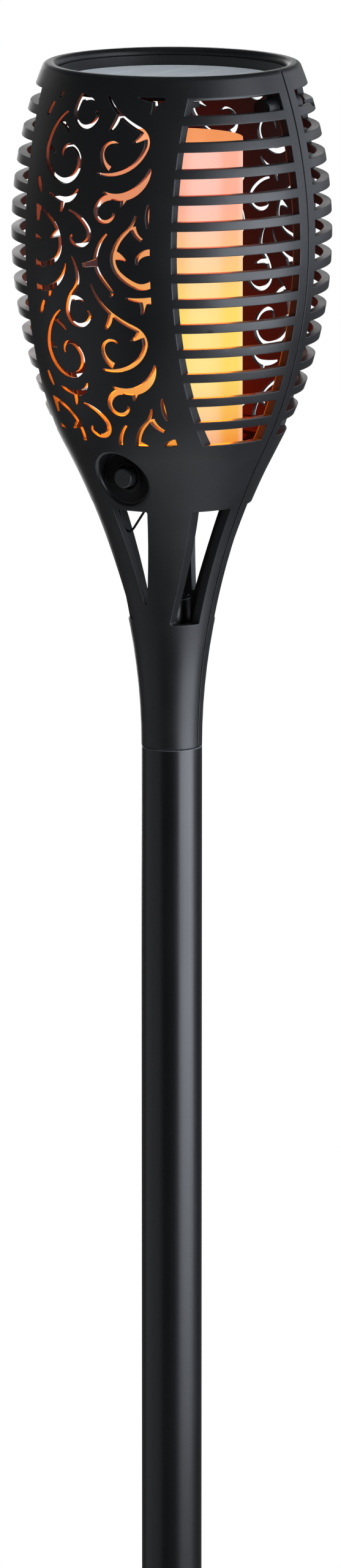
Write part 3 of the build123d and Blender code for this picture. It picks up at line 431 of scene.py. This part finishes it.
# where the flank and the rear face, and the cosines from there at which each begins and is full
FLANK = (np.radians(-25.0), 0.55, 0.85)
REAR = (np.radians(212.0), 0.05, 0.45)
FLAME_LEVEL = 0.92          # with the studio light on it, the lit tube shows its colour about as written
TONGUE = 20 * MM
TONGUE_SWAY = 0.03          # share of the tube's height by which a tongue rises or falls
LID_ORANGE = "#fb9c5e"
LID_STILL = 0.98            # share of the height over which nothing sways
LID_SHARE = 0.985

# a soft glow without sharp reflections, whose bands of colour rise and fall a little, as tongues of flame do
flame_finish, tree = new_finish("polypropylene, frosted and lit from inside")
place = add(tree, "ShaderNodeTexCoord").outputs["Object"]
parts = add(tree, "ShaderNodeSeparateXYZ", {"Vector": place})
tongues = add(tree, "ShaderNodeTexNoise", {"Vector": place, "Scale": 1 / TONGUE, "Detail": 2.0})
sway = add(tree, "ShaderNodeMapRange", {
    "Value": tongues.outputs["Fac"], "To Min": -TONGUE_SWAY, "To Max": TONGUE_SWAY})
share = add(tree, "ShaderNodeMapRange", {
    "Value": parts.outputs["Z"], "From Min": TUBE_LOW, "From Max": TUBE_HIGH})
lid = add(tree, "ShaderNodeMath", {0: share.outputs[0], 1: LID_STILL}, operation="GREATER_THAN")
still = add(tree, "ShaderNodeMix", {"Factor": lid.outputs[0], NUMBER_A: sway.outputs[0], NUMBER_B: 0.0})
level = add(tree, "ShaderNodeMath", {0: share.outputs[0], 1: still.outputs[0]}, operation="ADD")
ramps = []
for foot, heart, tip in FLAME_SIDES:
    ramp = add(tree, "ShaderNodeValToRGB", {"Fac": level.outputs[0]})
    stops = ramp.color_ramp.elements
    rows = [(0.0, foot), (FLAME_HEART[0], heart), (FLAME_HEART[1], heart), (FLAME_TIP, tip),
            (LID_SHARE, tip), (1.0, LID_ORANGE)]
    while len(stops) < len(rows):
        stops.new(1.0)
    for stop, (at, shade) in zip(stops, rows):
        stop.position = at
        stop.color = linear(shade)
    ramps.append(ramp.outputs["Color"])
turn = add(tree, "ShaderNodeMath", {
    0: parts.outputs["X"], 1: parts.outputs["Y"]}, operation="ARCTAN2")
turns = add(tree, "ShaderNodeMath", {0: turn.outputs[0], 1: float(COLUMNS)}, operation="MULTIPLY")
lobes = add(tree, "ShaderNodeMath", {0: turns.outputs[0]}, operation="COSINE")
between = add(tree, "ShaderNodeMapRange", {
    "Value": lobes.outputs[0], "From Min": COLUMN_EDGE[0], "From Max": COLUMN_EDGE[1]},
    interpolation_type="SMOOTHSTEP")
glow = add(tree, "ShaderNodeMix", {
    "Factor": between.outputs[0], COLOUR_A: ramps[0], COLOUR_B: ramps[1]}, data_type="RGBA")
for (facing, begins, full), ramp in ((FLANK, ramps[2]), (REAR, ramps[3])):
    aside = add(tree, "ShaderNodeMath", {0: turn.outputs[0], 1: np.pi - facing}, operation="SUBTRACT")
    nearness = add(tree, "ShaderNodeMath", {0: aside.outputs[0]}, operation="COSINE")
    side = add(tree, "ShaderNodeMapRange", {
        "Value": nearness.outputs[0], "From Min": begins, "From Max": full},
        interpolation_type="SMOOTHSTEP")
    glow = add(tree, "ShaderNodeMix", {
        "Factor": side.outputs[0], COLOUR_A: glow.outputs[COLOUR_OUT], COLOUR_B: ramp}, data_type="RGBA")
frost = add(tree, "ShaderNodeTexNoise", {"Vector": place, "Scale": 1 / FROST_GRAIN, "Detail": 1.0})
bump = add(tree, "ShaderNodeBump", {
    "Height": frost.outputs["Fac"], "Strength": 0.1, "Distance": FROST_DEPTH})
skin = add(tree, "ShaderNodeBsdfPrincipled", {
    "Base Color": linear(TUBE_BROWN), "Roughness": TUBE_ROUGH, "IOR": POLYPROPYLENE_IOR,
    "Normal": bump.outputs[0], "Emission Color": glow.outputs[COLOUR_OUT],
    "Emission Strength": FLAME_LEVEL})
add(tree, "ShaderNodeOutputMaterial", {"Surface": skin.outputs[0]})
dress(flame_finish, "diffuser")


# Screws: pan heads of zinc-plated steel with cross recesses. Four close the lantern from wells in its
# rear half, and three run up through the base plate into the diffuser's bosses.
ZINC = "#b9bcc0"
ZINC_DULL = "#8f9296"
ZINC_SPANGLE = 0.8 * MM
ZINC_ROUGH = (0.25, 0.45)

# a bright bluish metal with a fine spangle
zinc_finish, tree = new_finish("steel, zinc plated")
place = add(tree, "ShaderNodeTexCoord").outputs["Object"]
spangle = add(tree, "ShaderNodeTexNoise", {"Vector": place, "Scale": 1 / ZINC_SPANGLE, "Detail": 3.0})
colour = add(tree, "ShaderNodeMix", {
    "Factor": spangle.outputs["Fac"], COLOUR_A: linear(ZINC), COLOUR_B: linear(ZINC_DULL)},
    data_type="RGBA")
rub = add(tree, "ShaderNodeMapRange", {
    "Value": spangle.outputs["Fac"], "To Min": ZINC_ROUGH[0], "To Max": ZINC_ROUGH[1]})
skin = add(tree, "ShaderNodeBsdfPrincipled", {
    "Base Color": colour.outputs[COLOUR_OUT], "Metallic": 1.0, "Roughness": rub.outputs[0]})
add(tree, "ShaderNodeOutputMaterial", {"Surface": skin.outputs[0]})
dress(zinc_finish, "shell_screws", "lamp_screws")


# Lead and grommet: a thin black PVC lead runs from the control board, out through a rubber grommet and
# across the open neck, then up behind the left seam post to the solar panel.
LEAD_BLACK = "#101113"
LEAD_RADIUS = 0.00045
LEAD_SKIN = 0.6 * MM
LEAD_ROUGH = (0.35, 0.5)
SEAM_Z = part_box("front_shell")[0].z
LEAD_ROUTE = [              # across, and up from the shell's foot, in millimetres, as the solid runs
    (-9.0, 98.0), (-9.0, 88.3), (-12.7, 82.95), (-19.03, 73.8), (-23.01, 86.0), (-27.57, 97.0),
    (-35.9, 114.0), (-45.11, 136.0), (-51.45, 162.0), (-53.4, 188.0), (-51.29, 213.0), (-38.61, 231.0),
    (-38.61, 239.2),
]
RUBBER_BLACK = "#161617"
RUBBER_BLOOM = 2 * MM
RUBBER_ROUGH = (0.6, 0.8)
RUBBER_IOR = 1.5

# a smooth black with a soft shine along its length
lead_finish, tree = new_finish("PVC, extruded black")
place = add(tree, "ShaderNodeTexCoord").outputs["Object"]
skinned = add(tree, "ShaderNodeTexNoise", {"Vector": place, "Scale": 1 / LEAD_SKIN, "Detail": 2.0})
satin = add(tree, "ShaderNodeMapRange", {
    "Value": skinned.outputs["Fac"], "To Min": LEAD_ROUGH[0], "To Max": LEAD_ROUGH[1]})
skin = add(tree, "ShaderNodeBsdfPrincipled", {
    "Base Color": linear(LEAD_BLACK), "Roughness": satin.outputs[0], "IOR": PVC_IOR})
add(tree, "ShaderNodeOutputMaterial", {"Surface": skin.outputs[0]})

# a round section carried along a smooth curve that the route's points guide, in the plane of the seam
line = bpy.data.curves.new("lead_line", "CURVE")
line.dimensions = "3D"
line.bevel_depth = LEAD_RADIUS
line.bevel_resolution = 3
line.resolution_u = 12
line.use_fill_caps = True
spline = line.splines.new("NURBS")
spline.points.add(len(LEAD_ROUTE) - 1)
across, up = np.array(LEAD_ROUTE).T / 1000
route = np.column_stack([across, np.zeros_like(across), up + SEAM_Z, np.ones_like(across)])
spline.points.foreach_set("co", route.ravel())
spline.order_u = 3
spline.use_endpoint_u = True
line.materials.append(lead_finish)
lead = bpy.data.objects.new("lead", line)
bpy.context.collection.objects.link(lead)
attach(lead, "head")
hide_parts("solar_lead")

# a matt black with a slight bloom
rubber_finish, tree = new_finish("EPDM rubber, moulded")
place = add(tree, "ShaderNodeTexCoord").outputs["Object"]
bloom = add(tree, "ShaderNodeTexNoise", {"Vector": place, "Scale": 1 / RUBBER_BLOOM, "Detail": 3.0})
matt = add(tree, "ShaderNodeMapRange", {
    "Value": bloom.outputs["Fac"], "To Min": RUBBER_ROUGH[0], "To Max": RUBBER_ROUGH[1]})
skin = add(tree, "ShaderNodeBsdfPrincipled", {
    "Base Color": linear(RUBBER_BLACK), "Roughness": matt.outputs[0], "IOR": RUBBER_IOR})
add(tree, "ShaderNodeOutputMaterial", {"Surface": skin.outputs[0]})
dress(rubber_finish, "lead_grommet")


# Solar top: a foam seal, a white board with six strips of silicon, and resin cast over them, laid one on
# another in the shallow tray under the rim.
FOAM_BLACK = "#1b1b1c"
FOAM_CELL = 0.6 * MM        # coarser than the real cells, so that they show
FOAM_DEPTH = 0.2 * MM
FOAM_ROUGH = 0.85
SILICON = "#0d1530"
SILICON_ROUGH = 0.25
FINGER = "#a9adb2"
FINGER_PITCH = 2.2 * MM
FINGER_CREST = 0.97         # how far up a wave a finger starts, which makes it thin
RESIN = "#dfe6e8"
RESIN_RIPPLE = 12 * MM
RESIN_ROUGH = (0.25, 0.35)
RESIN_IOR = 1.3             # less than epoxy's 1.5, so that its haze shows at the photograph's low angle
RESIN_CLEAR = 0.7           # share of the light that gets through the haze

# a matt black full of small cells
foam_finish, tree = new_finish("polyethylene foam tape")
place = add(tree, "ShaderNodeTexCoord").outputs["Object"]
cells = add(tree, "ShaderNodeTexVoronoi", {"Vector": place, "Scale": 1 / FOAM_CELL})
bump = add(tree, "ShaderNodeBump", {
    "Height": cells.outputs["Distance"], "Strength": 0.5, "Distance": FOAM_DEPTH})
skin = add(tree, "ShaderNodeBsdfPrincipled", {
    "Base Color": linear(FOAM_BLACK), "Roughness": FOAM_ROUGH, "Normal": bump.outputs[0]})
add(tree, "ShaderNodeOutputMaterial", {"Surface": skin.outputs[0]})
dress(foam_finish, "panel_seal")

# a deep blue-black crossed by thin silver fingers
silicon_finish, tree = new_finish("silicon, anti-reflection coated")
place = add(tree, "ShaderNodeTexCoord").outputs["Object"]
fingers = add(tree, "ShaderNodeTexWave", {
    "Vector": place, "Scale": WAVE_REPEAT / FINGER_PITCH}, bands_direction="Y")
thin = add(tree, "ShaderNodeMath", {0: fingers.outputs["Fac"], 1: FINGER_CREST}, operation="GREATER_THAN")
colour = add(tree, "ShaderNodeMix", {
    "Factor": thin.outputs[0], COLOUR_A: linear(SILICON), COLOUR_B: linear(FINGER)}, data_type="RGBA")
skin = add(tree, "ShaderNodeBsdfPrincipled", {
    "Base Color": colour.outputs[COLOUR_OUT], "Roughness": SILICON_ROUGH, "Metallic": thin.outputs[0]})
add(tree, "ShaderNodeOutputMaterial", {"Surface": skin.outputs[0]})
dress(silicon_finish, "solar_cells")

# a pale haze that greys the cells at a low angle and lets them show from above
resin_finish, tree = new_finish("epoxy, cast with a matt face")
place = add(tree, "ShaderNodeTexCoord").outputs["Object"]
ripple = add(tree, "ShaderNodeTexNoise", {"Vector": place, "Scale": 1 / RESIN_RIPPLE, "Detail": 2.0})
cast = add(tree, "ShaderNodeMapRange", {
    "Value": ripple.outputs["Fac"], "To Min": RESIN_ROUGH[0], "To Max": RESIN_ROUGH[1]})
skin = add(tree, "ShaderNodeBsdfPrincipled", {
    "Base Color": linear(RESIN), "Roughness": cast.outputs[0], "IOR": RESIN_IOR,
    "Transmission Weight": RESIN_CLEAR, "Sheen Weight": 1.0, "Sheen Roughness": 0.5,
    "Sheen Tint": linear(RESIN)})
add(tree, "ShaderNodeOutputMaterial", {"Surface": skin.outputs[0]})
dress(resin_finish, "panel_cover")


# Floor: a round sheet of white paper just under the spike's tip, cut on a circle of equal steps. It shows
# white to the camera, dimmer to reflections, and still takes the torch's shadow.
FLOOR_RADIUS = 0.6
FLOOR_STEPS = 64
FLOOR_GAP = 0.5 * MM
FLOOR_WHITE = "#e6e6e4"
FLOOR_ROUGH = 0.9
FLOOR_LIFT = 0.9            # what it shows beyond the light that falls on it
FLOOR_MIRRORED = 0.18       # share of that in a reflection

angle = np.linspace(0, 2 * np.pi, FLOOR_STEPS, endpoint=False)
points = np.column_stack([FLOOR_RADIUS * np.cos(angle), FLOOR_RADIUS * np.sin(angle),
                          np.full(FLOOR_STEPS, SPIKE_TIP_Z - FLOOR_GAP)])
sheet = bpy.data.meshes.new("floor")
sheet.from_pydata(points.tolist(), [], [list(range(FLOOR_STEPS))])
floor = bpy.data.objects.new("floor", sheet)
bpy.context.collection.objects.link(floor)

# a plain white without any shine
floor_finish, tree = new_finish("paper sweep, white")
rays = add(tree, "ShaderNodeLightPath")
mirrored = add(tree, "ShaderNodeMath", {
    0: rays.outputs["Is Glossy Ray"], 1: FLOOR_MIRRORED}, operation="MULTIPLY")
seen = add(tree, "ShaderNodeMath", {
    0: rays.outputs["Is Camera Ray"], 1: mirrored.outputs[0]}, operation="MAXIMUM")
seen = add(tree, "ShaderNodeMath", {
    0: seen.outputs[0], 1: rays.outputs["Is Transmission Ray"]}, operation="MAXIMUM")
lift = add(tree, "ShaderNodeMath", {0: seen.outputs[0], 1: FLOOR_LIFT}, operation="MULTIPLY")
skin = add(tree, "ShaderNodeBsdfPrincipled", {
    "Base Color": linear(FLOOR_WHITE), "Roughness": FLOOR_ROUGH, "Emission Color": (1, 1, 1, 1),
    "Emission Strength": lift.outputs[0]})
add(tree, "ShaderNodeOutputMaterial", {"Surface": skin.outputs[0]})
sheet.materials.append(floor_finish)


# Studio: white all round to the camera and through the resin. Reflections see a tent with a dark foot and
# roof, brightest straight behind the torch, and matt faces get a little light from all round.
CAMERA_TURN = np.radians(32.5)
AWAY = (-np.sin(CAMERA_TURN), np.cos(CAMERA_TURN), 0.0)
AMBIENT = 0.18
TENT_BACK = (0.3, 0.9)      # cosine from straight behind where the tent starts to brighten, and is full
TENT_FRONT = 0.3            # how bright it is all round, next to straight behind
TENT_FOOT = (-0.12, 0.05)   # sine of the height where it starts, and is full
TENT_ROOF = (0.2, 0.45)     # and where it starts to fade, and is gone
TENT_LEVEL = 0.6
TENT_DARK = 0.1

world = bpy.data.worlds.new("studio")
bpy.context.scene.world = world
world.use_nodes = True
tree = world.node_tree
tree.nodes.clear()
rays = add(tree, "ShaderNodeLightPath")
way = add(tree, "ShaderNodeTexCoord").outputs["Generated"]
facing = add(tree, "ShaderNodeVectorMath", {0: way, 1: AWAY}, operation="DOT_PRODUCT")
behind = add(tree, "ShaderNodeMapRange", {
    "Value": facing.outputs["Value"], "From Min": TENT_BACK[0], "From Max": TENT_BACK[1],
    "To Min": TENT_FRONT, "To Max": 1.0})
rise = add(tree, "ShaderNodeSeparateXYZ", {"Vector": way}).outputs["Z"]
above = add(tree, "ShaderNodeMapRange", {
    "Value": rise, "From Min": TENT_FOOT[0], "From Max": TENT_FOOT[1],
    "To Min": TENT_DARK, "To Max": TENT_LEVEL})
roof = add(tree, "ShaderNodeMapRange", {
    "Value": rise, "From Min": TENT_ROOF[0], "From Max": TENT_ROOF[1],
    "To Min": 1.0, "To Max": TENT_DARK})
band = add(tree, "ShaderNodeMath", {0: above.outputs[0], 1: roof.outputs[0]}, operation="MULTIPLY")
tent = add(tree, "ShaderNodeMath", {0: behind.outputs[0], 1: band.outputs[0]}, operation="MULTIPLY")
mirrored = add(tree, "ShaderNodeMix", {
    "Factor": rays.outputs["Is Glossy Ray"], NUMBER_A: AMBIENT, NUMBER_B: tent.outputs[0]})
direct = add(tree, "ShaderNodeMath", {
    0: rays.outputs["Is Camera Ray"], 1: rays.outputs["Is Transmission Ray"]}, operation="MAXIMUM")
strength = add(tree, "ShaderNodeMix", {
    "Factor": direct.outputs[0], NUMBER_A: mirrored.outputs[0], NUMBER_B: 1.0})
surround = add(tree, "ShaderNodeBackground", {"Color": (1, 1, 1, 1), "Strength": strength.outputs[0]})
add(tree, "ShaderNodeOutputWorld", {"Surface": surround.outputs[0]})


# Soft panels: the key, to the right, reaches from low on the pole to over the lantern, and a sheet above
# it draws the pale streak under the rim. A low sheet lights the pole's left side, two behind draw the
# lantern's edges, and one overhead whitens the panel in the rim.
PANEL_AWAY = 1.3
PANEL_AIM_Z = 0.75          # the flare under the louvres
TOP_AWAY = 0.02


def soft_panel(name, turn, distance, height, size, level, colour):
    """A soft light at an angle round the torch, aimed at the lantern; its power is pi x area x level."""
    lamp = bpy.data.lights.new(name, "AREA")
    lamp.shape = "RECTANGLE"
    lamp.size, lamp.size_y = size
    lamp.energy = np.pi * size[0] * size[1] * level
    lamp.color = linear(colour)[:3]
    panel = bpy.data.objects.new(name, lamp)
    turn = np.radians(turn)
    spot = np.array([distance * np.sin(turn), -distance * np.cos(turn), height])
    panel.location = spot
    aim = np.array([0.0, 0.0, PANEL_AIM_Z]) - spot
    panel.rotation_euler = (np.arctan2(np.hypot(aim[0], aim[1]), -aim[2]), 0,
                            np.arctan2(aim[1], aim[0]) - np.pi / 2)
    bpy.context.collection.objects.link(panel)
    panel.visible_camera = False
    return panel


soft_panel("key_panel", 92, PANEL_AWAY, 0.62, (1.45, 0.98), 6.1, "#eef4ff")
soft_panel("left_sheet", -46, PANEL_AWAY, 0.20, (2.0, 0.8), 0.4, "#f4f7ff")
soft_panel("back_right_sheet", 148, PANEL_AWAY, 1.03, (1.1, 0.9), 1.0, "#e6eeff")
soft_panel("back_left_sheet", 222, PANEL_AWAY, 0.72, (0.6, 0.76), 3.6, "#ffffff")
soft_panel("high_right_sheet", 100, PANEL_AWAY, 1.55, (0.9, 0.5), 2.0, "#eef4ff")
top_sheet = soft_panel("top_sheet", 0, TOP_AWAY, 2.2, (1.2, 1.2), 6.2, "#f4f7ff")
top_sheet.visible_glossy = False        # it lights matt faces only, so the rim's lip stays dark


# Glow of the lit tube on the inside of the lantern, which the tube's own shown brightness is too low for:
# two strips of light before each of its columns, stronger and yellower at the front than at the rear.
# They go with the head.
GLOW_FRONT = [(22.0, "#ff7010"), (4.6, "#ff5a28")]     # level and colour of the lower and the upper strip
GLOW_RIGHT = [(15.0, "#ff6a10"), (4.2, "#ff5a28")]
GLOW_REAR = [(4.0, "#ff2c08"), (1.3, "#e02010")]
GLOW_ROUND = [GLOW_FRONT, GLOW_RIGHT, GLOW_REAR, GLOW_REAR, GLOW_REAR, GLOW_FRONT]
GLOW_TALL = (TUBE_HIGH - TUBE_LOW) / 2
GLOW_WIDE = 20 * MM
GLOW_RADIUS = 27 * MM

for column, strips in enumerate(GLOW_ROUND):
    turn = 360 * column / COLUMNS
    for half, (level, tint) in enumerate(strips):
        strip = soft_panel(f"glow_{column}_{half}", turn, GLOW_RADIUS, TUBE_LOW + GLOW_TALL * (half + 0.5),
                           (GLOW_WIDE, GLOW_TALL), level, tint)
        strip.rotation_euler = (np.pi / 2, 0, np.radians(turn) + np.pi)
        strip.parent = frame["bodies"]["head"]


# Camera: at the photograph's height and turn, looking down through a long lens at the collar, where the
# pole meets the head.
CAMERA_AWAY = 3.0
CAMERA_HEIGHT = SEAM_Z + 0.6145
CAMERA_LENS = 194.2
CAMERA_SHIFT = -0.0008      # the photograph has the torch a little right of the middle
AIM_Z = SEAM_Z - 0.0148

lens = bpy.data.cameras.new("camera")
lens.lens = CAMERA_LENS
lens.shift_x = CAMERA_SHIFT
camera = bpy.data.objects.new("camera", lens)
camera.location = (CAMERA_AWAY * np.sin(CAMERA_TURN), -CAMERA_AWAY * np.cos(CAMERA_TURN), CAMERA_HEIGHT)
camera.rotation_euler = (np.pi / 2 - np.arctan2(CAMERA_HEIGHT - AIM_Z, CAMERA_AWAY), 0, CAMERA_TURN)
bpy.context.collection.objects.link(camera)
bpy.context.scene.camera = camera
bpy.context.scene.view_settings.view_transform = "Standard"
